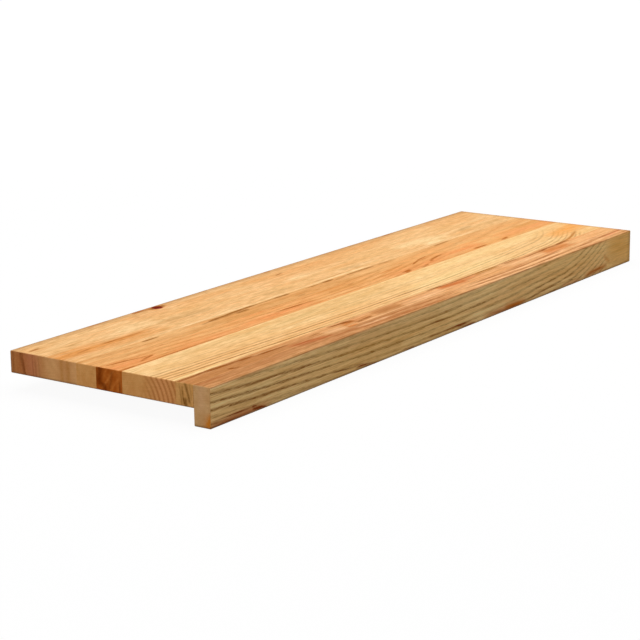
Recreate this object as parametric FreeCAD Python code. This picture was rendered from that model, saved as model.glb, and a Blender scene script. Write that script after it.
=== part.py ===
import FreeCAD, Part
import os

# A retrofit stair tread: full-length wooden staves glued edge to edge into a flat board, with an upright strip
# glued along the front edge whose lower part hangs down as a lip over the edge of the old step.
# +X runs along the length, -Y is the front, +Z is up. The origin is under the middle of the tread, level with
# the underside of the lip. All sizes are millimetres.

# Driving dimensions
LENGTH = 800.0
BOARD_THICKNESS = 21.0
NOSING_HEIGHT = 37.0
NOSING_THICKNESS = 18.0
ARRIS_RADIUS = 1.0

# The staves' widths, from the back edge to the nosing strip
STAVE_WIDTHS = {
    "stave_1_back": 80.0,
    "stave_2_narrow": 23.0,
    "stave_3_dark": 30.0,
    "stave_4_wide": 60.0,
    "stave_5_front": 19.0,
}

# Worked out from the driving dimensions
BOARD_DEPTH = sum(STAVE_WIDTHS.values())
TREAD_DEPTH = BOARD_DEPTH + NOSING_THICKNESS
FRONT_Y = -TREAD_DEPTH / 2
BACK_Y = TREAD_DEPTH / 2
LIP_BACK_Y = FRONT_Y + NOSING_THICKNESS
UNDERSIDE_Z = NOSING_HEIGHT - BOARD_THICKNESS
SAW_ALLOWANCE = BOARD_THICKNESS


def tread_section():
    """The tread's outline seen from its end: a flat board with the nosing's lip hanging from its front."""
    corners = [
        (FRONT_Y, 0.0),
        (LIP_BACK_Y, 0.0),
        (LIP_BACK_Y, UNDERSIDE_Z),
        (BACK_Y, UNDERSIDE_Z),
        (BACK_Y, NOSING_HEIGHT),
        (FRONT_Y, NOSING_HEIGHT),
    ]
    end_x = -LENGTH / 2
    points = [FreeCAD.Vector(end_x, y, z) for y, z in corners]
    return Part.Face(Part.makePolygon(points + points[:1]))


def is_inner_corner(edge):
    """True for the one inside edge, where the board's underside meets the back of the lip."""
    return all(
        abs(vertex.Y - LIP_BACK_Y) < Part.Precision.confusion()
        and abs(vertex.Z - UNDERSIDE_Z) < Part.Precision.confusion()
        for vertex in edge.Vertexes
    )


def glued_up_tread():
    """The whole tread after glue-up, with every outside edge eased to the arris radius."""
    blank = tread_section().extrude(FreeCAD.Vector(LENGTH, 0, 0))
    outside_edges = [edge for edge in blank.Edges if not is_inner_corner(edge)]
    return blank.makeFillet(ARRIS_RADIUS, outside_edges)


def between_glue_lines(tread, front_y, back_y):
    """The part of the tread between two upright glue planes."""
    slab = Part.makeBox(
        LENGTH + 2 * SAW_ALLOWANCE,
        back_y - front_y,
        NOSING_HEIGHT + 2 * SAW_ALLOWANCE,
        FreeCAD.Vector(-LENGTH / 2 - SAW_ALLOWANCE, front_y, -SAW_ALLOWANCE),
    )
    return tread.common(slab)


def main():
    os.makedirs("parts", exist_ok=True)
    tread = glued_up_tread()
    pieces = {}
    back_y = BACK_Y
    for name, width in STAVE_WIDTHS.items():
        pieces[name] = between_glue_lines(tread, back_y - width, back_y)
        back_y -= width
    pieces["nosing_strip"] = between_glue_lines(tread, FRONT_Y, LIP_BACK_Y)

    for name, piece in pieces.items():
        box = piece.BoundBox
        print(
            f"{name}: {len(piece.Solids)} solid, valid {piece.isValid()}, {len(piece.Faces)} faces, "
            f"{box.XLength:.2f} x {box.YLength:.2f} x {box.ZLength:.2f} mm, {piece.Volume / 1000:.2f} cm3"
        )
        piece.exportStep(f"parts/{name}.step")


main()
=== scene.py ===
# A retrofit stair tread of glued oak staves with a lipped nosing strip, dressed for its picture.
import bpy
import numpy as np
from mathutils import Matrix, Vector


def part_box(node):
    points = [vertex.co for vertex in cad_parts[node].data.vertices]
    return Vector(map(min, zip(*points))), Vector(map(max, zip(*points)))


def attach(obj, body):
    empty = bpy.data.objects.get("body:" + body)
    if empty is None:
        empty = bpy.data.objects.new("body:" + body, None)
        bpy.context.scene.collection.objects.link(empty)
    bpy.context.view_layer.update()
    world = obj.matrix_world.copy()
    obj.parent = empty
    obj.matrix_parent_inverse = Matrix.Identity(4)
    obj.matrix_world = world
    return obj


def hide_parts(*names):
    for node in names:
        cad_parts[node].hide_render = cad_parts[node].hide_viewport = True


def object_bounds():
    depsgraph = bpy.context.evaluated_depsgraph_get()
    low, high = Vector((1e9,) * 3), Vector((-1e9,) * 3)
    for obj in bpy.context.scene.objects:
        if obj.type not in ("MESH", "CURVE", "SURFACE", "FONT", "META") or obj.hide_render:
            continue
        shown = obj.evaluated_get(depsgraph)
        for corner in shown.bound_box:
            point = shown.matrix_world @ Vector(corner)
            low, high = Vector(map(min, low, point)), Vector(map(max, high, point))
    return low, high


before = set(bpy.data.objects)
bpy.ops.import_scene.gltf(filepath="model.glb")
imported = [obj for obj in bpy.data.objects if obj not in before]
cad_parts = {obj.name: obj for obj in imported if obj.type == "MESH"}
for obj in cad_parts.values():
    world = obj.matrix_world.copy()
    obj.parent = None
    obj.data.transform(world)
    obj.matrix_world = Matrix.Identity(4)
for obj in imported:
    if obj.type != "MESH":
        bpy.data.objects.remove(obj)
cadLow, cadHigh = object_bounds()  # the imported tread's box, in metres
mm = 0.001
treadLength = (cadHigh.x - cadLow.x) / mm
treadDepth = (cadHigh.y - cadLow.y) / mm
print("loaded", len(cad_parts), "glued pieces,", round(treadLength), "mm long")


# The camera that took the picture, found from the tread's corners

photo = {
    "pixels": 640,
    "focalPixels": 1951.6,
    "sensorWide": 36.0,  # mm
    "yaw": 55.081,  # degrees from the tread's depth round to its length
    "pitch": 13.886,  # degrees downwards
    "roll": -0.583,
    "distance": 2036.8,  # mm along the view, from the lens to level with the tread's origin
    "aside": 41.09,  # mm that the origin lies right of the picture's middle
    "above": 2.76,  # mm that it lies above the middle
}


def photoCamera():
    # forward comes from yaw and pitch, right and up are square to it and turned by the roll
    yaw, pitch, roll = np.radians([photo["yaw"], photo["pitch"], photo["roll"]])
    forward = np.array([np.sin(yaw) * np.cos(pitch), np.cos(yaw) * np.cos(pitch), -np.sin(pitch)])
    level = np.array([np.cos(yaw), -np.sin(yaw), 0.0])
    upright = np.cross(level, forward)
    right = np.cos(roll) * level + np.sin(roll) * upright
    up = np.cos(roll) * upright - np.sin(roll) * level
    lens = -mm * (photo["aside"] * right + photo["above"] * up + photo["distance"] * forward)
    data = bpy.data.cameras.new("photoCamera")
    data.sensor_width = photo["sensorWide"]
    data.lens = photo["focalPixels"] / photo["pixels"] * data.sensor_width
    camera = bpy.data.objects.new("photoCamera", data)
    bpy.context.scene.collection.objects.link(camera)
    placed = np.eye(4)
    placed[:3] = np.stack([right, up, -forward, lens], 1)
    camera.matrix_world = Matrix(placed.tolist())
    bpy.context.scene.camera = camera


photoCamera()
print("camera placed")


# Shader sums written as Python


class Wire:
    # one socket in a material's nodes; sums on it add Math nodes
    def __init__(self, tree, socket=None):
        self.tree = tree
        self.socket = socket

    def node(self, kind, settings, sockets, out=0):
        # adds any node: its settings first, then a value or a link for each socket; gives one output's wire
        made = self.tree.nodes.new(kind)
        for name, value in settings.items():
            setattr(made, name, value)
        for name, value in sockets.items():
            if isinstance(value, Wire):
                self.tree.links.new(value.socket, made.inputs[name])
            else:
                made.inputs[name].default_value = value
        return Wire(self.tree, made.outputs[out]) if made.outputs else None

    def also(self, out):
        # another output of the same node
        return Wire(self.tree, self.socket.node.outputs[out])

    def math(self, operation, *values):
        return self.node("ShaderNodeMath", {"operation": operation}, dict(enumerate(values)))

    def __add__(self, other):
        return self.math("ADD", self, other)

    def __sub__(self, other):
        return self.math("SUBTRACT", self, other)

    def __rsub__(self, other):
        return self.math("SUBTRACT", other, self)

    def __mul__(self, other):
        return self.math("MULTIPLY", self, other)

    def __truediv__(self, other):
        return self.math("DIVIDE", self, other)

    def __pow__(self, other):
        return self.math("POWER", self, other)

    __radd__ = __add__
    __rmul__ = __mul__


# Sums that work both on wires and on numpy arrays, so that one formula colours a piece and shapes it


def larger(a, b):
    return a.math("MAXIMUM", a, b) if isinstance(a, Wire) else np.maximum(a, b)


def smaller(a, b):
    return a.math("MINIMUM", a, b) if isinstance(a, Wire) else np.minimum(a, b)


def wave(a):
    return a.math("SINE", a) if isinstance(a, Wire) else np.sin(a)


def bell(a):
    # 1 at nought and falling away on both sides: e to the minus a squared
    down = a * a * -1.0
    return down.math("EXPONENT", down) if isinstance(a, Wire) else np.exp(down)


def fromWhole(a):
    # distance to the nearest whole number, with its sign
    half = a + 0.5
    return (half.math("FRACT", half) if isinstance(a, Wire) else half % 1.0) - 0.5


def ease(a, start, stop):
    # 0 before start, 1 after stop and smooth between
    if isinstance(a, Wire):
        return a.node("ShaderNodeMapRange", {"interpolation_type": "SMOOTHSTEP"}, {0: a, 1: start, 2: stop})
    share = np.clip((a - start) / (stop - start), 0.0, 1.0)
    return share * share * (3.0 - 2.0 * share)


stemWaves = {  # mm along and mm aside for one radian of each slow wave in the stem, and its height in mm
    "across": (23.0, 11.0, 0.18),
    "below": (61.0, -9.0, 0.25),
}


def ringNumber(rings, along, across, below):
    # distance from the pith, plus the stem's bends, each a power of how far a place lies past the bend's
    # start, plus two slow waves, counted in rings from the first one
    aside = across - rings["pithAcross"]
    down = below - rings["pithBelow"]
    reach = (aside * aside + down * down) ** 0.5 - rings["first"]
    for start, span, lift, power in rings["bends"]:
        reach = reach + larger((along - start) / span, 0.0) ** power * lift
    for side, (length, width, height) in ((across, stemWaves["across"]), (below, stemWaves["below"])):
        reach = reach + wave(along / length + side / width) * height
    return reach / rings["width"]


def markSum(run, side, rows, broad=1.0):
    # each mark is a lens on a bowed line: the bell of the distance from the line over its half width, times
    # s(2 - s) for s = 4t(1 - t), where t goes from 0 to 1 along the run
    total = 0.0
    for start, stop, first, last, bow, half, strength in rows:
        t = (run - start) / (stop - start)
        swell = t * (1.0 - t) * 4.0
        line = t * (last - first) + swell * bow + first
        total = bell((side - line) / (half * broad)) * larger(swell * (2.0 - swell), 0.0) * strength + total
    return total


def knotReach(knot, along, across, longer=1.0, wider=1.0):
    # distance from a knot's middle, 1 at the rim of its heart or of an oval so much longer and wider
    run = (along - knot["along"]) / (knot["long"] * longer)
    side = (across - knot["across"]) / (knot["wide"] * wider)
    return (run * run + side * side) ** 0.5


# The wood's finish

# Cloudy noises: mm along, across and below that a blotch takes up, the detail in it and, where it is
# sharpened, the values that become 0 and 1
noises = {
    "tone": {"size": (150.0, 12.0, 12.0), "detail": 3.0, "sharpen": (0.32, 0.68)},
    "blush": {"size": (64.0, 8.0, 8.0), "detail": 2.0, "sharpen": (0.45, 0.72)},
    "streak": {"size": (60.0, 2.6, 2.6), "detail": 3.0},  # breaks up lines and marks
    "fleck": {"size": (13.0, 2.5, 2.5), "detail": 2.0},
    "fibre": {"size": (30.0, 0.8, 0.8), "detail": 3.0},
    "vessel": {"size": (9.0, 0.45, 0.45), "detail": 1.0, "sharpen": (0.5, 0.62)},  # dashes of cut vessels
    "wander": {"size": (30.0, 4.0, 4.0), "detail": 2.0},  # pushes lines and marks aside
    "endTone": {"size": (900.0, 6.0, 9.0), "detail": 2.0, "sharpen": (0.3, 0.7)},
    "endDots": {"size": (4.0, 0.6, 0.6), "detail": 1.0, "sharpen": (0.5, 0.7)},  # pores cut across
    "saw": {"size": (900.0, 30.0, 0.7), "detail": 1.0},  # the blade's marks on an end
    "rays": {"size": (1 / 180, 1 / 0.7, 900.0), "detail": 1.0, "sharpen": (0.54, 0.68)},  # radians, rings, mm
}
boardNoises = [name for name in noises if name not in ("saw", "rays")]  # those that follow the fibres

finish = {
    "wander": 2.4,  # mm between the furthest pushes aside
    "topWander": 0.5, "faceWander": 0.3, "endWander": 0.3,  # shares of it that move the marks
    "lineFibres": 0.5,  # rings that fibres move a line by
    "lineBreaks": 1.1,  # how far streaks and flecks break a line
    "lineCut": (0.1, 1.15),  # values of a broken line that become 0 and 1
    "betweenWide": 0.3, "brightWide": 0.25,  # half widths, in shares of a ring
    "vesselInLine": 0.7, "plainInLine": 0.77,
    "blush": 0.6,
    "deep": 0.6, "deepCut": (0.46, 0.74),
    "topDeep": 0.7, "topDeepCut": (0.48, 0.7),
    "skin": 6.0, "skinFull": 0.6,  # mm below the top where its marks end and where they are full
    "faceAcross": (221.0, 227.0), "faceBelow": (0.2, 1.0),  # mm where the front's marks come in
    "figure": 1.2, "figureFall": 0.4,  # the grain is coarser at the left end
    "shade": 1.03, "vesselShade": 0.1,
    "shadeMoves": (0.8, 1.0, 1.45),  # how far a shade moves red, green and blue: dark fibres are warmer
    "sawSlope": 0.09,
    "rayShade": 0.08, "dotShade": 0.16, "sawShade": 0.24,
    "endFrom": 0.7, "endFull": 0.2,  # mm from an end where its own colour comes in
    # the darkened outer edges, which are painted shade along the lower ones:
    "edgeShade": 1.9, "edgeShadeFull": 0.3, "edgeShadeShare": 0.65,  # mm from an edge
    "rightDark": (10.0, 2.0), "rightShare": 0.32,  # mm from the right end, whose upper edge is darker
    "endKept": (3.0, 1.5), "endKeptShare": 0.85,  # mm from the ends' upper edges, which stay pale
    "frontAcross": (222.0, 226.0), "frontKept": (4.0, 2.0),  # mm for the front's upper edge, which stays pale
    "cornerAlong": (6.0, 3.0), "cornerBelow": (36.0, 34.0),  # mm for its left edge, which does too
    "roughness": 0.68, "fibreRoughness": 0.2, "endRoughness": 0.15,
    "specular": 0.02,
    "bump": 0.35, "bumpDistance": 0.0001,
    "fibreHeight": 0.6, "vesselHeight": -0.6, "lineHeight": -0.4,
}

fray = {
    "broad": 1.25, "cut": (0.12, 1.1),  # hard marks are laid broader and cut back, where these become 0 and 1
    "streaks": 1.6, "fibres": 4.5,  # how far streaks and fibres break a hard mark
    "split": 2.0, "splitLeast": 0.02,  # what of a hard mark the fibres let through
    "softFibres": 0.8,
}


def paint(red, green, blue):
    # a colour as seen, 0 to 255, to the linear one that nodes take
    seen = np.array([red, green, blue]) / 255.0
    linear = np.where(seen <= 0.04045, seen / 12.92, ((seen + 0.055) / 1.055) ** 2.4)
    return (*linear.tolist(), 1.0)


def cloud(place, name):
    # noise about 0.5 at a place along, across and below, or from 0 to 1 if it is sharpened
    noise = noises[name]
    vector = place[0].node("ShaderNodeCombineXYZ", {}, {i: place[i] / noise["size"][i] for i in range(3)})
    value = vector.node("ShaderNodeTexNoise", {}, {"Vector": vector, "Scale": 1.0, "Detail": noise["detail"]})
    return ease(value, *noise["sharpen"]) if "sharpen" in noise else value


def blend(pen, share, a, b, way="MIX"):
    # colour a with a share of colour b laid over it
    return pen.node("ShaderNodeMix", {"data_type": "RGBA", "blend_type": way}, {0: share, 6: a, 7: b}, 2)


def shaded(pen, colour, shade):
    # a colour made lighter or darker by a shade about 1
    tint = {i: (shade - 1.0) * finish["shadeMoves"][i] + 1.0 for i in range(3)}
    return blend(pen, 1.0, colour, pen.node("ShaderNodeCombineColor", {}, tint), "MULTIPLY")


def layered(pen, colour, layers, run, side, at, reach):
    # lays groups of marks over a colour: soft ones fade out, hard ones fray along the fibres and are split
    streak, fibre = at["streak"], at["fibre"]
    frayed = (streak - 0.5) * fray["streaks"] + (fibre - 0.5) * fray["fibres"] + 1.0
    split = smaller(fibre * fray["split"] + fray["splitLeast"], 1.0)
    soft = streak + (fibre - 0.5) * fray["softFibres"] + 0.5
    for tint, kind, rows in layers:
        if kind == "hard":
            share = ease(markSum(run, side, rows, fray["broad"]) * frayed, *fray["cut"]) * split
        else:
            share = smaller(markSum(run, side, rows) * soft, 1.0)
        colour = blend(pen, share * reach, colour, paint(*tint))
    return colour


def knotted(pen, colour, knot, at, skin):
    # an orange halo, brown tails drawn out along the fibres, then the heart with its rings and a crack
    along, across, wander = at["along"], at["across"], at["wander"]
    reach = knotReach(knot, along, across) + wander * knot["uneven"]
    tails = knotReach(knot, along, across, knot["tailLong"], knot["tailWide"]) + wander * knot["tailUneven"]
    slant = across - knot["across"] + (along - knot["along"]) * knot["crackSlope"]
    slant = slant + wander * knot["crackUneven"]
    rings = ease(wave(reach * knot["ringTurn"]), *knot["ringCut"])
    rings = rings * ease(reach, *knot["ringRim"]) * knot["ringShare"]
    crack = bell(slant / knot["crackWide"]) * ease(reach, *knot["crackRim"]) * knot["crackShare"]
    shares = {
        "halo": bell(reach / knot["haloReach"]) * knot["haloShare"],
        "tail": ease(tails, *knot["tailRim"]) * knot["tailShare"],
        "heart": ease(reach, *knot["heartRim"]),
        "dark": larger(rings, crack),
    }
    for name, share in shares.items():
        colour = blend(pen, share * skin, colour, paint(*knot[name]))
    return colour


def linesShown(limits, along, across, number):
    # the share of its growth lines that a piece shows: they end at a place along, start at a place across
    # that moves back towards the right, and fade by ring number
    share = ease(along, *limits["end"]) if "end" in limits else 1.0
    if "start" in limits:
        moved = across + larger(along - limits["moveFrom"], 0.0) * limits["move"]
        share = ease(moved, *limits["start"]) * share
    if "fade" in limits:
        share = (ease(number, *limits["fade"]) * (1.0 - limits["least"]) + limits["least"]) * share
    return share


def woodAt(pen, look):
    # the wires that the colours are made from, by name: the place in mm, the noises and the growth lines
    point = pen.node("ShaderNodeSeparateXYZ", {}, {0: pen.node("ShaderNodeTexCoord", {}, {}, "Object")})
    along = (point - cadLow.x) / mm
    across = (cadHigh.y - point.also(1)) / mm
    below = (cadHigh.z - point.also(2)) / mm
    flow = across
    if "knot" in look:
        knot = look["knot"]
        parted = bell(knotReach(knot, along, across) / knot["partReach"]) * knot["partShare"]
        flow = across - (across - knot["across"]) * parted  # the fibres part round the knot
    board = (along + look["offset"], flow, below)  # each board is a stretch of its own wood
    at = {name: cloud(board, name) for name in boardNoises}
    at["along"], at["across"], at["below"] = along, across, below
    at["wander"] = (at["wander"] - 0.5) * finish["wander"]

    # bands of pores at each late ring and a fainter one between, broken up by streaks and flecks
    rings = look["rings"]
    push = at["wander"] * rings["wander"]
    number = ringNumber(rings, along, flow + push, below + push) + (at["fibre"] - 0.5) * finish["lineFibres"]
    late = bell(fromWhole(number) / rings["line"])
    between = bell(fromWhole(number * 2.0 + 0.5) / finish["betweenWide"])
    endShown = linesShown(look["shown"], along, across, number)
    shown = endShown
    if "gaps" in look:
        shown = larger(1.0 - markSum(along, number, look["gaps"]), 0.0) * endShown
    broken = late + (at["streak"] + at["fleck"] - 1.0) * finish["lineBreaks"]
    lines = ease(broken, *finish["lineCut"]) * rings["strength"] + between * rings["between"]
    at["lines"] = lines * shown * (at["vessel"] * finish["vesselInLine"] + finish["plainInLine"])
    if "bright" in rings:
        at["bright"] = bell(fromWhole(number + 0.5) / finish["brightWide"]) * shown * rings["bright"]
    at["endLines"] = larger(late, between * rings.get("endBetween", 0.0)) * endShown * rings["endStrength"]
    at["number"] = number
    fromMiddle = along - treadLength / 2
    away = fromMiddle.math("ABSOLUTE", fromMiddle)
    at["end"] = ease(away, treadLength / 2 - finish["endFrom"], treadLength / 2 - finish["endFull"])
    return at


def longFaces(pen, look, at):
    along, across, below, streak = at["along"], at["across"], at["below"], at["streak"]
    colour = blend(pen, at["tone"], paint(*look["pale"]), paint(*look["base"]))
    colour = blend(pen, at["blush"] * finish["blush"], colour, paint(*look["blush"]))
    colour = blend(pen, ease(streak, *finish["deepCut"]) * finish["deep"], colour, paint(*look["deep"]))
    if "bright" in at:
        colour = blend(pen, at["bright"], colour, paint(*look["pale"]))
    colour = blend(pen, at["lines"], colour, paint(*look["line"]))
    skin = ease(below, look.get("skin", finish["skin"]), finish["skinFull"])
    colour = layered(pen, colour, look["top"], along, across + at["wander"] * finish["topWander"], at, skin)
    if "topDeep" in look:
        deep = ease(streak, *finish["topDeepCut"]) * skin * finish["topDeep"]
        colour = blend(pen, deep, colour, paint(*look["topDeep"]))
    if "face" in look:
        faceSkin = ease(across, *finish["faceAcross"]) * ease(below, *finish["faceBelow"])
        side = below + at["wander"] * finish["faceWander"]
        colour = layered(pen, colour, look["face"], along, side, at, faceSkin)
    if "knot" in look:
        colour = knotted(pen, colour, look["knot"], at, skin)
    flecked = skin * look.get("topFleck", 0.0) + look["fleck"]
    figure = finish["figure"] - along * (finish["figureFall"] / treadLength)
    grain = ((at["fibre"] - 0.5) * look["fibre"] + (at["fleck"] - 0.5) * flecked) * figure
    return shaded(pen, colour, grain + finish["shade"] - at["vessel"] * finish["vesselShade"])


def endGrain(pen, look, at):
    # darker, with rings and pores cut across, pale rays from the pith and the saw's marks
    along, across, below = at["along"], at["across"], at["below"]
    rings = look["rings"]
    colour = blend(pen, at["endTone"], paint(*look["endPale"]), paint(*look["endBase"]))
    colour = layered(pen, colour, look["end"], below, across + at["wander"] * finish["endWander"], at, 1.0)
    colour = blend(pen, at["endLines"], colour, paint(*look["endLine"]))
    aside = across - rings["pithAcross"]
    angle = aside.math("ARCTAN2", aside, below - rings["pithBelow"])
    rays = cloud((angle, at["number"], along), "rays") * finish["rayShade"]
    saw = cloud((along, across, below + across * finish["sawSlope"]), "saw")
    shade = rays + 1.0 - at["endDots"] * finish["dotShade"] + (saw - 0.5) * finish["sawShade"]
    return shaded(pen, colour, shade)


def edgeShadeShare(look, at):
    # the outer edges are darkened: painted shade along the lower edges, a plain darker line along the others;
    # of the ways to the end, the side and the top or underside, the middle one is the distance to an edge
    along, across, below = at["along"], at["across"], at["below"]
    toEnd = smaller(along, treadLength - along)
    toSide = smaller(across, treadDepth - across)
    toFlat = smaller(below, (cadHigh.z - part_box(look["node"])[0].z) / mm - below)
    toEdge = larger(smaller(toEnd, toSide), smaller(larger(toEnd, toSide), toFlat))
    corner = ease(along, *finish["cornerAlong"]) * ease(below, *finish["cornerBelow"])
    front = ease(across, *finish["frontAcross"]) * larger(ease(below, *finish["frontKept"]), corner)
    upper = ease(toEnd, *finish["endKept"]) * ease(below, *finish["endKept"]) * finish["endKeptShare"]
    edgeShade = ease(toEdge, look.get("edgeShade", finish["edgeShade"]), finish["edgeShadeFull"]) * (1.0 - front) * (1.0 - upper)
    start, full = (treadLength - reach for reach in finish["rightDark"])
    right = ease(along, start, full) * (1.0 - at["end"]) * finish["rightShare"]
    return larger(edgeShade * finish["edgeShadeShare"], right)


def oak(look):
    material = bpy.data.materials.new(look["slot"])
    material.use_nodes = True
    material.node_tree.nodes.clear()
    pen = Wire(material.node_tree)
    at = woodAt(pen, look)
    colour = blend(pen, at["end"], longFaces(pen, look, at), endGrain(pen, look, at))
    # the outer edges are darkened towards the edge colour: painted shade along the lower edges
    colour = blend(pen, edgeShadeShare(look, at), colour, paint(*look["edge"]))
    rough = (at["fibre"] - 0.5) * finish["fibreRoughness"] + at["end"] * finish["endRoughness"]
    heights = {"fibre": "fibreHeight", "vessel": "vesselHeight", "lines": "lineHeight"}
    height = sum(at[name] * finish[value] for name, value in heights.items())
    bumped = {"Strength": finish["bump"], "Distance": finish["bumpDistance"], "Height": height}
    bump = pen.node("ShaderNodeBump", {}, bumped)
    sockets = {"Base Color": colour, "Roughness": rough + finish["roughness"], "Normal": bump}
    sockets["Specular IOR Level"] = finish["specular"]
    shader = pen.node("ShaderNodeBsdfPrincipled", {}, sockets)
    pen.node("ShaderNodeOutputMaterial", {}, {"Surface": shader})
    return material


# Meshes

grid = {
    "stationGap": 3.0,  # mm between cross-sections along the tread
    "faceGap": 0.8,  # mm between points across a face that shows
    "gluedGap": 5.0,  # mm between points down a glued face
    "arris": 1.0,  # mm radius of the sanded edges
    "glueArris": 0.12,  # mm radius at a glue line
    "leastArris": 0.05,  # mm radius that is left where an end draws the section in
    "arcSteps": 3,  # points on each half of an arris
}


def sectionPlan(wide, tall, sideGap):
    # once round a rounded rectangle, anticlockwise seen from +X, as the corners that a point lies between,
    # the share of the way and its outward direction; corner 0 is high Y, low Z
    steps = grid["arcSteps"]
    across = int(wide / grid["faceGap"])
    down = int(tall / sideGap)
    corner, following, share, angle = [], [], [], []
    for k in range(4):
        flat = down if k % 2 == 0 else across
        turn = np.linspace(k - 1.0, k, 2 * steps + 1)
        corner.append(np.full(len(turn) + flat, k))
        following.append(np.r_[np.full(len(turn), k), np.full(flat, (k + 1) % 4)])
        share.append(np.r_[np.zeros(len(turn)), np.arange(1, flat + 1) / (flat + 1.0)])
        angle.append(np.r_[turn, np.full(flat, float(k))])
    angle = np.concatenate(angle) * np.pi / 2
    plan = [np.concatenate(rows) for rows in (corner, following, share)]
    return *plan, np.cos(angle), np.sin(angle)


def staveMesh(look, low, high):
    # The section is a rounded rectangle carried along X. Near each end it is drawn in by a quarter circle,
    # and a Coons patch of its four sides closes the end. Points are pushed out along it by the relief.
    steps = grid["arcSteps"]
    backFree, frontFree = look["free"]
    sideGap = grid["faceGap"] if backFree or frontFree else grid["gluedGap"]
    wide, tall = high.y - low.y, high.z - low.z
    corner, following, share, outY, outZ = sectionPlan(wide / mm, tall / mm, sideGap)

    turns = np.linspace(0.0, np.pi / 2, 2 * steps + 1)
    inset = grid["arris"] * mm * (1.0 - np.sin(turns))
    endX = grid["arris"] * mm * (1.0 - np.cos(turns))
    middle = np.linspace(low.x, high.x, int((high.x - low.x) / mm / grid["stationGap"]))[1:-1]
    x = np.r_[low.x + endX, middle, (high.x - endX)[::-1]]
    drawn = np.r_[inset, np.zeros(len(middle)), inset[::-1]][:, None]

    # corner by corner: how far it is drawn in at a station, its radius and the place of its arc's middle
    sideY = np.array([high.y, high.y, low.y, low.y])
    sideZ = np.array([low.z, high.z, high.z, low.z])
    signY = np.array([1.0, 1.0, -1.0, -1.0])
    signZ = np.array([-1.0, 1.0, 1.0, -1.0])
    free = np.array([backFree, backFree, frontFree, frontFree], float)
    if look.get("lip"):
        free[1] = 0.0  # the nosing's back is glued above and free below
    radius = np.where(free > 0, grid["arris"], grid["glueArris"]) * mm
    radius = np.maximum(radius - drawn * (free > 0), grid["leastArris"] * mm)
    middleY = sideY - signY * (drawn * free + radius)
    middleZ = sideZ - signZ * (drawn + radius)
    y = middleY[:, corner] + outY * radius[:, corner]
    z = middleZ[:, corner] + outZ * radius[:, corner]
    yNext = middleY[:, following] + outY * radius[:, following]
    zNext = middleZ[:, following] + outZ * radius[:, following]
    y = y + (yNext - y) * share
    z = z + (zNext - z) * share

    ring = np.stack([np.broadcast_to(x[:, None], y.shape), y, z], -1)
    proud = relief(look, ring) * (drawn == 0.0) * mm
    ring = ring + proud[..., None] * np.stack([np.zeros_like(outY), outY, outZ], -1)

    # faces round the section, then the two ends
    stations, around = y.shape
    index = np.arange(stations * around).reshape(stations, around)
    onward = np.roll(index, -1, 1)
    quads = [np.stack([index[:-1], onward[:-1], onward[1:], index[1:]], -1).reshape(-1, 4)]
    points = [ring.reshape(-1, 3)]
    firstMiddle = steps + np.r_[0, np.cumsum(np.bincount(corner))[:3]]  # the points midway on the arrises
    used = stations * around
    for station in (0, stations - 1):
        names = np.roll(index[station], -firstMiddle[0])
        cuts = np.r_[firstMiddle - firstMiddle[0], around]
        loop = np.r_[names, names[0]]
        right, top, left, bottom = (loop[cuts[k] : cuts[k + 1] + 1] for k in range(4))
        top, left = top[::-1], left[::-1]
        place = points[0]
        s = np.linspace(0.0, 1.0, len(top))[:, None, None]
        t = np.linspace(0.0, 1.0, len(left))[None, :, None]
        patch = (1 - t) * place[bottom][:, None] + t * place[top][:, None]
        patch = patch + (1 - s) * place[left][None] + s * place[right][None]
        low0, high0 = place[bottom[0]], place[bottom[-1]]
        low1, high1 = place[top[0]], place[top[-1]]
        patch = patch - (1 - s) * (1 - t) * low0 - s * (1 - t) * high0 - (1 - s) * t * low1 - s * t * high1
        face = np.empty(patch.shape[:2], int)
        face[:, 0], face[:, -1], face[0], face[-1] = bottom, top, left, right
        inner = patch[1:-1, 1:-1].reshape(-1, 3)
        face[1:-1, 1:-1] = used + np.arange(len(inner)).reshape(face.shape[0] - 2, face.shape[1] - 2)
        used += len(inner)
        points.append(inner)
        cap = np.stack([face[:-1, :-1], face[1:, :-1], face[1:, 1:], face[:-1, 1:]], -1).reshape(-1, 4)
        quads.append(cap if station else cap[:, ::-1])
    return np.concatenate(points), np.concatenate(quads)


sanding = {
    "late": 0.015,  # mm that late wood stands proud
    "belt": 0.015,  # mm height of a slow wave
    "beltAlong": 37.0, "beltAcross": 50.0,  # mm that make one radian of it
}


def relief(look, ring):
    # the sanded face, in mm: late wood a little proud, a slow wave from the sanding belt, a dished knot
    along = (ring[..., 0] - cadLow.x) / mm
    across = (cadHigh.y - ring[..., 1]) / mm
    below = (cadHigh.z - ring[..., 2]) / mm
    late = np.cos(2 * np.pi * ringNumber(look["rings"], along, across, below))
    belt = wave(along / sanding["beltAlong"] + across / sanding["beltAcross"])
    height = late * sanding["late"] + belt * sanding["belt"]
    if "knot" in look:
        knot = look["knot"]
        dish = bell(knotReach(knot, along, across)) * knot["dish"]
        height = height - dish * ease(below, knot["dishBelow"], 0.0)
    return height


def dress(look):
    low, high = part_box(look["node"])
    points, quads = staveMesh(look, low, high)
    mesh = bpy.data.meshes.new(look["name"])
    mesh.from_pydata(points, [], quads)
    mesh.polygons.foreach_set("use_smooth", np.ones(len(quads), bool))
    mesh.materials.append(oak(look))
    mesh.validate()
    piece = bpy.data.objects.new(look["name"], mesh)
    bpy.context.scene.collection.objects.link(piece)
    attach(piece, "root")
    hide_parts(look["node"])
    print("made", look["name"], "with", len(quads), "faces")


# The pieces, from the back edge to the nosing. A mark is a row: start, stop, side at each end, bow, half
# width, strength. Top marks run along and lie across, face marks run along and lie below the top, end marks
# run downwards and lie across. Gaps are marks too, which lie by ring number and take a growth line away.

# Each piece's edge colour darkens its outer edges, and along the lower ones that is painted shade.
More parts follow.
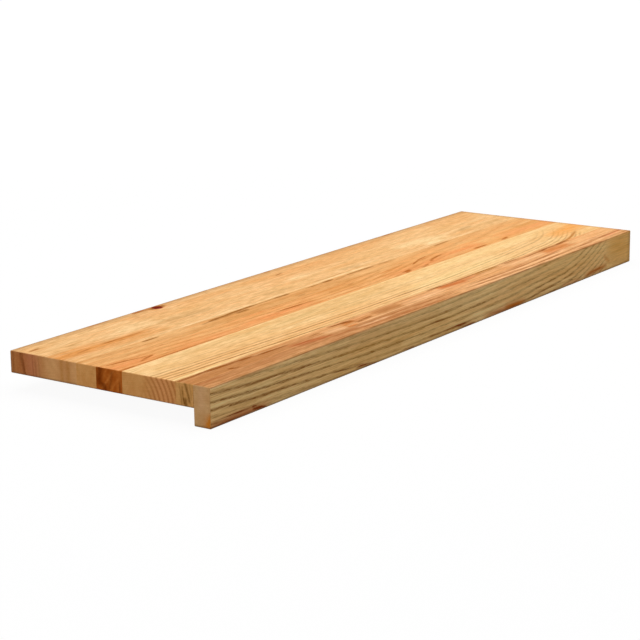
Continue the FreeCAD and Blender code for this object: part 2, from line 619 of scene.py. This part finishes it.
backStave = {
    "name": "backStave",
    "node": "stave_1_back",
    "slot": "pale_oak",
    "offset": 0.0,
    "free": (True, False),  # back edge, front edge
    "pale": (246, 200, 143),
    "base": (237, 186, 124),
    "deep": (225, 162, 95),
    "blush": (240, 178, 112),
    "edge": (128, 92, 58),
    "line": (214, 152, 86),
    "rings": {
        "pithAcross": -30.0, "pithBelow": 90.0, "first": 110.0, "width": 7.0,
        "bends": [(400.0, -400.0, 9.0, 1.5), (420.0, 190.0, 5.0, 2.2)],
        "line": 0.24, "strength": 0.14, "between": 0.05, "wander": 0.8, "endStrength": 0.06,
    },
    "shown": {},
    "top": [
        ((227, 154, 84), "soft", [
            (-70, 150, 60, 66, 0, 9, 0.7),
            (-60, 150, 56, 57, 0, 4.5, 0.8),
            (-40, 76, 46.5, 49, 0, 3, 0.7),
            (140, 205, 18, 22, 0, 9, 0.4),
            (215, 310, 18, 20, 0, 8, 0.4),
            (320, 520, 20, 26, 0, 16, 0.45),
            (480, 620, 14, 12, 0, 10, 0.35),
            (690, 790, 16, 20, 0, 12, 0.35),
        ]),
        ((255, 222, 166), "soft", [
            (560, 665, 50, 62, 0, 11, 0.55),
            (600, 642, 70, 72, 0, 5, 0.6),
            (100, 165, 38, 42, 0, 9, 0.35),
            (370, 402, 46, 46, 0, 3, 0.5),
            (100, 510, 78, 78, 0, 1.1, 0.5),
            (370, 480, 76.8, 77.4, 0, 1.3, 0.6),
            (192, 214, 15.4, 15.4, 0, 2.4, 0.7),
        ]),
        ((182, 134, 86), "soft", [(-400, 1200, 1.5, 1.5, 0, 7, 0.6)]),
        ((196, 150, 92), "soft", [
            (148, 232, 50, 54, 0, 6, 0.5),
            (298, 348, 62, 70, 0, 5, 0.4),
            (438, 478, 64, 68, 0, 4.5, 0.45),
            (688, 728, 62, 58, 0, 4.5, 0.55),
            (744, 778, 66, 68, 0, 5, 0.4),
        ]),
        ((172, 100, 38), "hard", [
            (52, 128, 57, 57, 0, 1.8, 0.6),
            (22, 48, 60, 57, 0, 1.4, 0.6),
            (3, 21, 19, 18, 0, 1.6, 0.75),
            (381, 399, 21, 18, 0, 1.7, 0.7),
            (368, 442, 73, 73, 0, 1.1, 0.6),
            (100, 136, 2.6, 3, 0, 1.3, 0.7),
            (382, 399, 2.6, 2.6, 0, 1.3, 0.7),
            (614, 638, 3, 3, 0, 1.5, 0.6),
            (164, 197, 3.0, 4.6, 0, 2.4, 1.1),
        ]),
    ],
    "knot": {
        "along": 201.5, "across": 7.2, "long": 5.9, "wide": 5.8,  # mm: its middle, half its length and width
        "dish": 0.25, "dishBelow": 4.0,  # mm deep, and mm below the top where that ends
        "partReach": 2.2, "partShare": 0.45,  # how far out, in hearts, and how much the fibres part
        "uneven": 0.12, "tailUneven": 0.1, "crackUneven": 0.4,
        "halo": (232, 140, 66), "haloReach": 1.8, "haloShare": 0.6,
        "tail": (148, 88, 26), "tailLong": 2.4, "tailWide": 1.1, "tailRim": (1.05, 0.5), "tailShare": 0.75,
        "heart": (122, 26, 0), "heartRim": (1.2, 0.75),
        "dark": (74, 16, 0),
        "ringTurn": 15.0, "ringCut": (0.3, 0.9), "ringRim": (1.0, 0.8), "ringShare": 0.35,
        "crackSlope": 0.3, "crackWide": 0.4, "crackRim": (0.85, 0.6), "crackShare": 0.7,
    },
    "fibre": 0.85,
    "fleck": 0.7,
    "edgeShade": 2.8,
    "endPale": (224, 169, 110),
    "endBase": (218, 159, 101),
    "endLine": (150, 92, 44),
    "end": [
        ((180, 108, 58), "soft", [(-20, 42, 14, 16, 0, 22, 1.0)]),
        ((200, 124, 84), "soft", [(-10, 32, 26, 28, 0, 9, 0.7)]),
        ((196, 132, 76), "soft", [(-20, 42, 38, 40, 0, 4.5, 0.45), (-14, 32, 66, 67, 0, 9, 0.3)]),
        ((190, 124, 58), "soft", [(-14, 32, 62, 63, 0, 2.5, 0.6), (-14, 32, 69, 71, 0, 3, 0.6)]),
        ((182, 116, 62), "soft", [(-30, 50, 5, 5, 0, 6, 0.6)]),
        ((136, 74, 32), "soft", [
            (-14, 26, 9.5, 18.5, 0, 1.8, 0.7),
            (-4, 30, 14, 20, 0, 0.9, 0.4),
            (-10, 32, 3.5, 4, 0, 1.2, 0.5),
            (-6, 30, 27, 28.5, 0, 0.8, 0.35),
            (2, 30, 30.5, 32, 0, 1.3, 0.35),
            (0, 28, 34.5, 36, 0, 1.0, 0.3),
        ]),
    ],
}
dress(backStave)

narrowStave = {
    "name": "narrowStave",
    "node": "stave_2_narrow",
    "slot": "tan_oak",
    "offset": 1100.0,
    "free": (False, False),
    "pale": (242, 189, 126),
    "base": (233, 174, 109),
    "deep": (217, 149, 82),
    "blush": (237, 166, 98),
    "edge": (150, 108, 68),
    "fibre": 0.8,
    "fleck": 0.45,
    "line": (200, 130, 66),
    "rings": {
        "pithAcross": 60.0, "pithBelow": 70.0, "first": 76.0, "width": 6.0,
        "bends": [(300.0, -300.0, 9.0, 1.5), (330.0, 190.0, 4.0, 2.0)],
        "line": 0.2, "strength": 0.4, "between": 0.12, "wander": 0.5, "endStrength": 0.06,
    },
    "shown": {},
    "top": [
        ((213, 147, 80), "soft", [
            (130, 262, 97, 99, 0, 8, 0.45),
            (180, 430, 93, 96, 0, 9, 0.45),
            (384, 424, 96, 100, 0, 7, 0.4),
        ]),
        ((241, 170, 102), "soft", [(480, 630, 98, 94, 0, 7, 0.5), (640, 800, 92, 96, 0, 8, 0.3)]),
        ((152, 94, 34), "hard", [
            (86, 114, 82.6, 82.6, 0, 1.8, 0.95),
            (166, 200, 89, 85.5, 0, 1.3, 0.6),
            (181, 268, 85.8, 81.4, 0, 1.6, 1.05),
            (186, 262, 88.6, 84.4, 0, 0.9, 0.45),
            (150, 540, 82.8, 82.8, 0, 0.9, 0.35),
            (222, 247, 88.6, 88, 0, 1.5, 0.9),
            (262, 300, 82, 82, 0, 1.1, 0.5),
            (294, 322, 82.6, 82, 0, 2.0, 0.85),
            (312, 332, 97, 96, 0, 1.6, 0.55),
            (348, 402, 83, 83, 0, 1.4, 0.6),
            (379, 399, 82.6, 81.6, 0, 1.8, 0.9),
            (396, 422, 87, 84, 0, 1.6, 0.6),
            (420, 478, 83, 82.6, 0, 1.8, 0.75),
            (482, 522, 83, 83.6, 0, 1.6, 0.4),
            (598, 636, 82.6, 80.4, 0, 1.8, 0.85),
        ]),
    ],
    "endPale": (222, 162, 96),
    "endBase": (214, 150, 84),
    "endLine": (158, 96, 44),
    "end": [],
}
dress(narrowStave)

darkStave = {
    "name": "darkStave",
    "node": "stave_3_dark",
    "slot": "dark_oak",
    "offset": 2300.0,
    "free": (False, False),
    "pale": (243, 186, 121),
    "base": (236, 171, 103),
    "deep": (222, 146, 77),
    "blush": (240, 159, 90),
    "edge": (120, 66, 26),
    "fibre": 0.7,
    "fleck": 0.45,
    "line": (202, 118, 54),
    "rings": {
        "pithAcross": 66.0, "pithBelow": 60.0, "first": 82.0, "width": 5.0,
        "bends": [(300.0, -300.0, 9.0, 1.5), (330.0, 190.0, 7.0, 2.0)],
        "line": 0.2, "strength": 0.5, "between": 0.12, "wander": 0.5, "endStrength": 0.08,
    },
    "shown": {"end": (640.0, 540.0)},  # mm where growth lines end and where they are full
    "top": [
        ((240, 150, 88), "soft", [
            (-40, 64, 121, 123, 0, 8, 0.55),
            (70, 210, 126, 126, 0, 5, 0.5),
            (186, 310, 122, 124, 0, 7, 0.55),
            (430, 570, 126, 122, 0, 7, 0.45),
            (560, 650, 118, 120, 0, 7, 0.6),
            (680, 830, 118, 122, 0, 8, 0.5),
        ]),
        ((214, 148, 77), "soft", [(330, 424, 108, 114, 0, 8, 0.45), (738, 796, 106, 108, 0, 7, 0.5)]),
        ((200, 128, 60), "soft", [
            (392, 500, 116, 97, -1, 1.8, 0.5),
            (412, 512, 122, 103, -1, 1.6, 0.45),
            (430, 514, 127.5, 110, -1, 1.6, 0.4),
            (480, 520, 126, 120, 0, 1.8, 0.5),
        ]),
        ((176, 96, 30), "hard", [
            (2, 54, 109, 118.6, -0.5, 1.2, 1.0),
            (34, 60, 125.5, 119.3, 0, 1.6, 0.85),
            (-8, 22, 131, 131, 0, 1.6, 0.9),
            (12, 152, 131, 131.4, 0, 1.3, 0.8),
            (238, 322, 118, 120, 0.5, 1.6, 0.65),
            (254, 292, 118.8, 119.6, 0, 1.3, 0.5),
            (384, 400, 111, 109, 0, 1.5, 0.7),
            (438, 488, 132, 123, 0, 1.3, 0.5),
            (465, 484, 131, 126.4, 0, 2.0, 0.9),
            (500, 554, 117, 102.6, -2, 1.3, 0.95),
            (497, 518, 131, 127.6, 0, 1.9, 0.95),
            (528, 568, 121.4, 114.2, -1.5, 1.6, 1.0),
            (516, 540, 126, 121, 0, 1.2, 0.45),
            (563, 592, 130, 130, 0, 1.5, 0.6),
            (611, 642, 128, 128.6, 0, 2.2, 0.95),
            (671, 692, 130, 126.4, 0, 2.0, 0.95),
        ]),
    ],
    "endPale": (190, 104, 36),
    "endBase": (172, 84, 20),
    "endLine": (124, 54, 8),
    "end": [
        ((206, 120, 50), "soft", [
            (-2, 22, 126, 107, 0, 1.7, 0.7),
            (5, 26, 131, 114, 0, 1.5, 0.45),
            (-8, 12, 120, 109, 0, 1.2, 0.4),
            (-10, 32, 128, 129.5, 0, 2.6, 0.35),
        ]),
        ((104, 38, 2), "soft", [
            (-6, 18, 108, 106, 0, 3.6, 0.75),
            (13, 25, 111, 115, 0, 3.6, 0.7),
            (0, 20, 122, 118, 0, 1.8, 0.45),
            (9, 26, 130.5, 129.5, 0, 0.9, 0.6),
        ]),
    ],
}
dress(darkStave)

wideStave = {
    "name": "wideStave",
    "node": "stave_4_wide",
    "slot": "yellow_oak",
    "offset": 3700.0,
    "free": (False, False),
    "pale": (250, 208, 148),
    "base": (242, 194, 132),
    "deep": (232, 178, 110),
    "blush": (238, 184, 114),
    "edge": (160, 118, 76),
    "fibre": 0.7,
    "fleck": 0.6,
    "line": (158, 98, 36),
    "rings": {
        "pithAcross": 124.0, "pithBelow": 32.0, "first": 75.7, "width": 4.78,
        "bends": [(400.0, -400.0, 9.3, 2.0), (430.0, 190.0, 7.9, 1.5), (672.0, 100.0, 23.0, 2.0)],
        "line": 0.22, "strength": 1.0, "between": 0.0, "wander": 0.4, "endStrength": 0.75, "endBetween": 0.45,
        "bright": 0.3,
    },
    "shown": {"end": (772.0, 738.0), "start": (150.0, 172.0), "moveFrom": 696.0, "move": 0.32},
    # line 0 is the strongest and line -2 the next, the others are faint, and those further back die out on
    # the left; a strength below nought makes a line heavier
    "gaps": [
        (-300, 500, 1, 1, 0, 0.35, 0.75),
        (0, 900, -1, -1, 0, 0.35, 0.7),
        (-300, 260, 0, 0, 0, 0.35, -0.8),
        (40, 600, -2, -2, 0, 0.35, -0.4),
        (-40, 660, -4.1, -4.1, 0, 1.3, 1.0),
        (220, 640, 0, 0, 0, 0.35, 0.75),
        (560, 960, 1, 1, 0, 9, 0.58),
    ],
    "top": [
        ((216, 172, 106), "soft", [
            (40, 205, 140, 146, 0, 7, 0.3),
            (205, 290, 151, 145, 0, 3, 0.4),
            (308, 338, 166, 163, 0, 2, 0.5),
            (170, 430, 148, 150, 0, 16, 0.35),
        ]),
        ((236, 172, 104), "soft", [(-160, 420, 178, 182, 0, 12, 0.35)]),
        ((244, 166, 84), "soft", [(712, 868, 170, 151, 0, 14, 0.85)]),
        ((255, 222, 156), "soft", [
            (-40, 100, 189.6, 190.2, 0, 1.3, 0.8),
            (-40, 800, 134.6, 134.6, 0, 1.3, 0.4),
            (400, 770, 148, 142, 0, 10, 0.3),
            (390, 610, 176, 176, 0, 10, 0.5),
        ]),
        ((196, 124, 52), "soft", [(678, 766, 195.5, 175, 5, 1.8, 1.0)]),
    ],
    "endPale": (220, 160, 94),
    "endBase": (213, 149, 84),
    "endLine": (174, 98, 46),
    "end": [((234, 164, 102), "soft", [(-14, 32, 176, 182, 0, 12, 0.75)])],
}
dress(wideStave)

frontStave = {
    "name": "frontStave",
    "node": "stave_5_front",
    "slot": "salmon_oak",
    "offset": 5200.0,
    "free": (False, False),
    "pale": (247, 193, 136),
    "base": (237, 174, 112),
    "deep": (211, 140, 79),
    "blush": (237, 159, 101),
    "edge": (134, 98, 60),
    "fibre": 0.6,
    "fleck": 0.55,
    "line": (176, 104, 48),
    "rings": {
        "pithAcross": 150.0, "pithBelow": 60.0, "first": 80.0, "width": 4.0,
        "bends": [(400.0, -400.0, 8.0, 1.5), (430.0, 190.0, 4.0, 2.2)],
        "line": 0.2, "strength": 0.4, "between": 0.12, "wander": 0.4, "endStrength": 0.08,
    },
    "shown": {"end": (720.0, 680.0)},
    "top": [
        ((190, 127, 72), "soft", [
            (-190, 236, 203, 207, 0, 11, 0.95),
            (292, 344, 202, 203, 0, 7, 0.85),
            (220, 410, 204, 205, 0, 9, 0.25),
        ]),
        ((251, 201, 149), "soft", [
            (204, 238, 205, 210, 0, 5, 0.4),
            (340, 424, 206, 206, 0, 6, 0.4),
            (545, 640, 205, 206, 0, 5, 0.5),
        ]),
        ((202, 107, 46), "soft", [(416, 472, 198.4, 202.4, 0, 4.8, 0.9), (462, 506, 200, 199, 0, 3, 0.5)]),
        ((208, 115, 40), "soft", [
            (630, 698, 204, 204, 0, 5.5, 0.8),
            (236, 254, 211, 212, 0, 2.2, 0.8),
            (238, 264, 204, 199, 0, 2.5, 0.6),
        ]),
        ((184, 98, 50), "soft", [(144, 202, 207, 213, 0, 3.4, 0.85)]),
        ((146, 80, 22), "hard", [
            (-20, 66, 195, 195, 0, 2.0, 1.15),
            (36, 106, 195.4, 198.6, 0, 1.8, 1.0),
            (82, 156, 198.4, 202.6, 0, 1.7, 0.9),
            (54, 76, 205.5, 215.5, 1, 2.2, 1.15),
            (62, 82, 215, 215.4, 0, 1.4, 0.7),
            (183, 207, 200, 201, 0, 1.4, 0.65),
            (222, 264, 195.4, 199, 0, 1.7, 0.95),
            (244, 264, 199, 203, 0, 2.0, 0.6),
            (256, 290, 207.4, 205, 0, 2.2, 0.95),
            (396, 720, 195.5, 195.5, 0, 1.0, 0.25),
            (402, 436, 194, 194, 0, 1.7, 0.95),
            (424, 506, 196, 195, 0, 1.5, 0.6),
            (554, 604, 196.5, 196.5, 0, 1.8, 0.65),
            (596, 654, 198.5, 197.5, 0, 1.7, 0.7),
            (636, 694, 196.6, 195.8, 0, 2.0, 0.6),
            (680, 716, 194.8, 193.6, 0, 2.0, 0.95),
            (656, 704, 206.4, 206, 0, 2.2, 0.35),
        ]),
        ((164, 104, 28), "hard", [(492, 554, 196, 195, 0, 3.0, 1.05)]),
    ],
    "endPale": (221, 164, 97),
    "endBase": (214, 155, 87),
    "endLine": (120, 76, 24),
    "end": [
        ((140, 92, 36), "soft", [
            (-3, 19, 202, 208.5, 0.5, 1.5, 0.85),
            (12, 25, 202.8, 204.8, 0, 2.1, 0.9),
            (0, 24, 196.5, 199.5, 0.4, 0.8, 0.5),
            (2, 20, 200, 202, -0.4, 1.1, 0.7),
            (-3, 15, 207.5, 210.5, 0, 0.8, 0.4),
        ]),
    ],
}
dress(frontStave)

nosing = {
    "name": "nosing",
    "node": "nosing_strip",
    "slot": "nosing_oak",
    "offset": 6900.0,
    "free": (True, True),
    "lip": True,
    "skin": 1.8,
    "pale": (255, 216, 148),
    "base": (250, 201, 131),
    "deep": (238, 184, 112),
    "blush": (244, 194, 127),
    "edge": (132, 96, 56),
    "fibre": 0.95,
    "fleck": 0.3,
    "topFleck": 0.5,
    "edgeShade": 3.0,
    "topDeep": (178, 112, 62),
    "line": (148, 94, 34),
    "rings": {
        "pithAcross": 260.9, "pithBelow": -33.4, "first": 61.0, "width": 5.75,
        "bends": [(320.0, -320.0, 11.0, 1.5), (370.0, 190.0, 5.25, 2.0), (630.0, 100.0, 15.5, 1.85)],
        "line": 0.21, "strength": 0.9, "between": 0.0, "wander": 0.5, "endStrength": 0.06,
    },
    "shown": {"end": (748.0, 722.0), "fade": (-3.2, -0.8), "least": 0.15},
    # the second and third lines break off, the upper ones fade on both sides, those on the right are fainter
    "gaps": [
        (330, 650, 1, 1, 0, 0.42, 0.5),
        (180, 360, 2, 2, 0, 0.42, 0.65),
        (420, 570, 2, 2, 0, 0.42, 0.7),
        (-300, 560, 3, 3, 0, 0.42, 0.6),
        (440, 900, 0, 0, 0, 0.42, 0.55),
        (390, 720, -1.4, -1.4, 0, 0.9, 0.6),
        (-120, 210, -1, -1, 0, 0.42, 0.35),
        (600, 960, 5, 5, 0, 6, 0.4),
    ],
    "top": [
        ((228, 166, 110), "soft", [(-400, 1200, 221, 221, 0, 60, 0.92)]),
        ((178, 116, 66), "soft", [(-260, 430, 215, 217, 0, 16, 0.74)]),
        ((252, 200, 146), "soft", [
            (420, 660, 216.5, 216.2, 5.2, 1.6, 0.85),
            (600, 760, 220.3, 212.5, 0, 1.6, 0.6),
            (420, 640, 224, 226, 3.4, 1.5, 0.8),
            (600, 830, 229, 219, 0, 1.5, 0.5),
            (236, 300, 219, 219.6, 0, 2.6, 0.6),
        ]),
        ((184, 98, 50), "soft", [(150, 208, 212, 214.6, 0, 2.6, 0.75)]),
        ((220, 110, 62), "soft", [(742, 840, 221, 214, 0, 3.2, 0.45)]),
        ((172, 118, 72), "soft", [(-400, 1200, 230.5, 230.5, 0, 2.6, 0.25)]),
        ((176, 106, 56), "hard", [
            (-14, 38, 214, 216.6, 0, 2.3, 1.05),
            (194, 254, 219.6, 220, 0, 2.0, 0.7),
            (262, 430, 215.2, 221.4, 0, 1.4, 0.9),
            (230, 416, 222.4, 229.2, 0, 2.0, 1.0),
            (428, 690, 213, 208, 6.5, 1.4, 0.9),
            (418, 640, 219.5, 222.5, 4, 1.4, 0.9),
            (588, 830, 225.2, 215.5, 0, 1.4, 0.75),
            (690, 830, 230, 225, 0, 1.6, 0.5),
        ]),
    ],
    "face": [
        ((216, 140, 84), "soft", [
            (-20, 90, 34.5, 34.5, 0, 3.2, 0.9),
            (455, 552, 33.5, 34, 0, 3, 0.75),
            (630, 676, 34.5, 34.5, 0, 2, 0.6),
        ]),
        ((206, 116, 30), "soft", [
            (502, 548, 32.6, 34, 0, 3, 0.75),
            (682, 742, 34, 30.5, -1, 2.8, 0.8),
            (731, 748, 18, 28, 0, 3, 0.6),
        ]),
        ((238, 176, 90), "soft", [
            (735, 870, 14, 18, 0, 26, 0.7),
            (560, 800, 9, 10, 0, 12, 0.3),
            (140, 440, 18, 22, 0, 26, 0.3),
        ]),
        ((212, 176, 126), "soft", [(130, 460, 5, 7, 0, 9, 0.25)]),
        ((146, 62, 12), "hard", [
            (-8, 66, 31.4, 31.6, 0, 0.9, 0.75),
            (-20, 74, 35.4, 35.4, 0, 1.5, 0.55),
            (58, 82, 31.4, 37.2, 0, 1.7, 1.1),
            (216, 262, 31.6, 37.4, 0, 1.6, 1.2),
            (300, 328, 35.4, 35.6, 0, 1.4, 0.9),
            (400, 446, 31.6, 36.8, 0, 2.2, 0.7),
            (342, 424, 31.8, 31.2, 0, 0.9, 0.5),
            (462, 512, 32, 35.6, 0, 2.0, 0.4),
            (504, 546, 33.6, 36.4, 0, 1.8, 0.4),
            (680, 734, 35.6, 31, -1, 2.0, 0.5),
        ]),
        ((130, 74, 22), "hard", [
            (176, 232, 28.6, 32.6, 0.4, 0.8, 0.7),
            (338, 396, 18.8, 19.2, 0, 1.1, 0.6),
        ]),
    ],
    "endPale": (216, 170, 116),
    "endBase": (208, 158, 103),
    "endLine": (156, 100, 50),
    "end": [
        ((208, 122, 28), "soft", [(22, 52, 230.5, 223.5, 0, 4.2, 0.95)]),
        ((222, 174, 128), "soft", [(-10, 26, 221, 220, 0, 4, 0.5)]),
    ],
}
dress(nosing)


# Floor, lights and backdrop

studio = {
    "floorSize": 30.0,  # metres
    "floorGap": 0.0002,  # metres that it lies below the tread
    "floorColour": 0.45,
    "floorShown": 0.06,  # the floor's colour as seen, over a white glow that fills the rest
    "floorGlow": 0.94,
    "whiteFrom": 0.7, "whiteFull": 2.5,  # metres from the middle where the floor turns into plain white
    "skyLight": 0.25,
    "lampPower": 58.0,
    "lampSize": 3.0,
    "lampPlace": (0.35, 0.1, 2.2),
    "sidePower": 20.0,
    "sideSize": 1.6,
    "sidePlace": (-3.0, 0.4, 0.9),
}


def seenDirectly(pen):
    # 1 for what the camera, a mirror or a pane sees, 0 for light on its way to the wood
    path = pen.node("ShaderNodeLightPath", {}, {}, "Is Camera Ray")
    seen = larger(path, path.also("Is Glossy Ray"))
    return larger(seen, path.also("Is Transmission Ray"))


def studioFloor():
    half = studio["floorSize"] / 2
    mesh = bpy.data.meshes.new("floor")
    corners = [(-half, -half, 0), (half, -half, 0), (half, half, 0), (-half, half, 0)]
    mesh.from_pydata(corners, [], [(0, 1, 2, 3)])
    floor = bpy.data.objects.new("floor", mesh)
    floor.location.z = cadLow.z - studio["floorGap"]
    bpy.context.scene.collection.objects.link(floor)
    material = bpy.data.materials.new("paleFloor")
    material.use_nodes = True
    material.node_tree.nodes.clear()
    pen = Wire(material.node_tree)
    seen = seenDirectly(pen)
    shades = [(studio[name],) * 3 + (1.0,) for name in ("floorColour", "floorShown")]
    lit = pen.node("ShaderNodeBsdfDiffuse", {}, {"Color": blend(pen, seen, *shades)})
    where = pen.node("ShaderNodeTexCoord", {}, {}, "Object")
    away = pen.node("ShaderNodeVectorMath", {"operation": "LENGTH"}, {0: where}, "Value")
    plain = ease(away, studio["whiteFrom"], studio["whiteFull"])
    white = plain * (1.0 - studio["floorGlow"]) + studio["floorGlow"]
    grey = pen.node("ShaderNodeCombineColor", {}, dict.fromkeys(range(3), seen * white))
    glow = pen.node("ShaderNodeEmission", {}, {"Color": grey, "Strength": 1.0})
    both = pen.node("ShaderNodeAddShader", {}, {0: lit, 1: glow})
    clear = pen.node("ShaderNodeBsdfTransparent", {}, {})
    back = pen.node("ShaderNodeNewGeometry", {}, {}, "Backfacing")
    surface = pen.node("ShaderNodeMixShader", {}, {0: back, 1: both, 2: clear})
    pen.node("ShaderNodeOutputMaterial", {}, {"Surface": surface})
    mesh.materials.append(material)


def studioLight():
    world = bpy.data.worlds.new("paleRoom")
    world.use_nodes = True
    world.node_tree.nodes.clear()
    pen = Wire(world.node_tree)
    strength = seenDirectly(pen) * (1.0 - studio["skyLight"]) + studio["skyLight"]
    sky = pen.node("ShaderNodeBackground", {}, {"Color": (1, 1, 1, 1), "Strength": strength})
    pen.node("ShaderNodeOutputWorld", {}, {"Surface": sky})
    bpy.context.scene.world = world
    for name in ("lamp", "side"):
        data = bpy.data.lights.new(name, "AREA")
        data.energy = studio[name + "Power"]
        data.size = studio[name + "Size"]
        lamp = bpy.data.objects.new(name, data)
        lamp.location = studio[name + "Place"]
        lamp.rotation_euler = (-lamp.location).to_track_quat("-Z", "Y").to_euler()
        bpy.context.scene.collection.objects.link(lamp)


studioFloor()
studioLight()
bpy.context.scene.view_settings.view_transform = "Standard"
print("studio lit")
